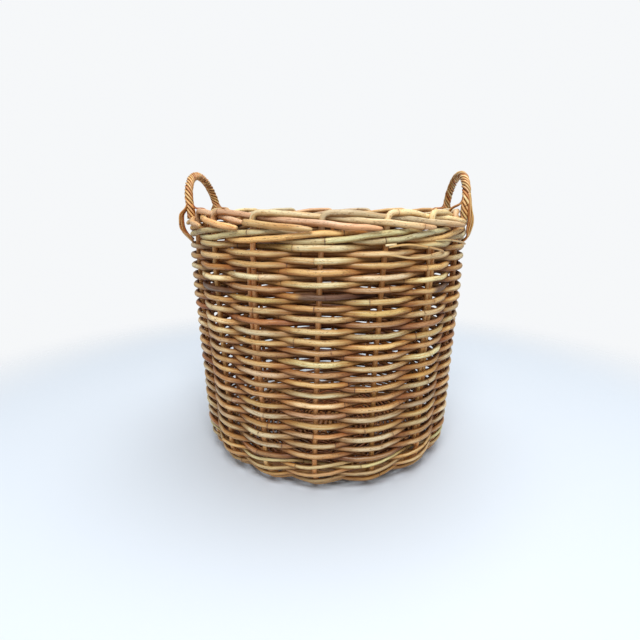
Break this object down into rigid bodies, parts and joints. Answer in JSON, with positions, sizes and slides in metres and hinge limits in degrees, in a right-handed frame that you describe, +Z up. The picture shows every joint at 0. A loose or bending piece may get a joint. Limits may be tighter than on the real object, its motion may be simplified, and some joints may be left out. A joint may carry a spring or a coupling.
{
  "type": "wicker log basket",
  "caption": "Round open basket woven from thick whole rattan cane, with a rolled cane border, slightly flared sides and two fixed rope-twisted loop handles; stands on the floor to hold logs.",
  "frame": {"origin": "on the floor, under the middle of the base, on the basket's axis", "axes": "+Z up along the axis, -Y to the front, the two handles on +X and -X"},
  "size_m": [0.5492, 0.5492, 0.547],
  "materials": {
    "stake_cane": "satin orange-brown whole cane",
    "weaver_cane": "satin golden tan whole cane with nodes and dark specks",
    "wale_cane": "satin pale straw cane with nodes",
    "foot_cane": "satin yellow-tan thin cane",
    "base_cane": "matt brown cane",
    "handle_cane": "satin golden brown twisted cane"
  },
  "bodies": {
    "root": {"base_sticks_lower": "base_cane", "base_sticks_upper": "base_cane", "base_weave_1": "base_cane", "base_weave_2": "base_cane", "border_rod": "stake_cane", "bye_stake_1": "stake_cane", "bye_stake_2": "stake_cane", "foot_pairing_1": "foot_cane", "foot_pairing_2": "foot_cane", "foot_pairing_3": "foot_cane", "foot_pairing_4": "foot_cane", "foot_pairing_5": "foot_cane", "foot_pairing_6": "foot_cane", "handle_left_bow": "handle_cane", "handle_left_lashing": "handle_cane", "handle_left_wrapping": "handle_cane", "handle_right_bow": "handle_cane", "handle_right_lashing": "handle_cane", "handle_right_tail": "handle_cane", "handle_right_wrapping": "handle_cane", "stake_01": "stake_cane", "stake_02": "stake_cane", "stake_03": "stake_cane", "stake_04": "stake_cane", "stake_05": "stake_cane", "stake_06": "stake_cane", "stake_07": "stake_cane", "stake_08": "stake_cane", "stake_09": "stake_cane", "stake_10": "stake_cane", "stake_11": "stake_cane", "stake_12": "stake_cane", "stake_13": "stake_cane", "stake_14": "stake_cane", "stake_15": "stake_cane", "stake_16": "stake_cane", "wale_rod_1": "wale_cane", "wale_rod_2": "wale_cane", "wale_rod_3": "wale_cane", "weave_band_01": "weaver_cane", "weave_band_02": "weaver_cane", "weave_band_03": "weaver_cane", "weave_band_04": "weaver_cane", "weave_band_05": "weaver_cane", "weave_band_06": "weaver_cane", "weave_band_07": "weaver_cane", "weave_band_08": "weaver_cane", "weave_band_09": "weaver_cane", "weave_band_10": "weaver_cane", "weave_band_11": "weaver_cane", "weave_band_12": "weaver_cane", "weave_band_13": "weaver_cane", "weave_band_14": "weaver_cane", "weave_band_15": "weaver_cane", "weave_band_16": "weaver_cane", "weave_band_17": "weaver_cane", "weave_band_18": "weaver_cane", "weave_band_19": "weaver_cane", "weave_band_20": "weaver_cane"}
  },
  "joints": []
}
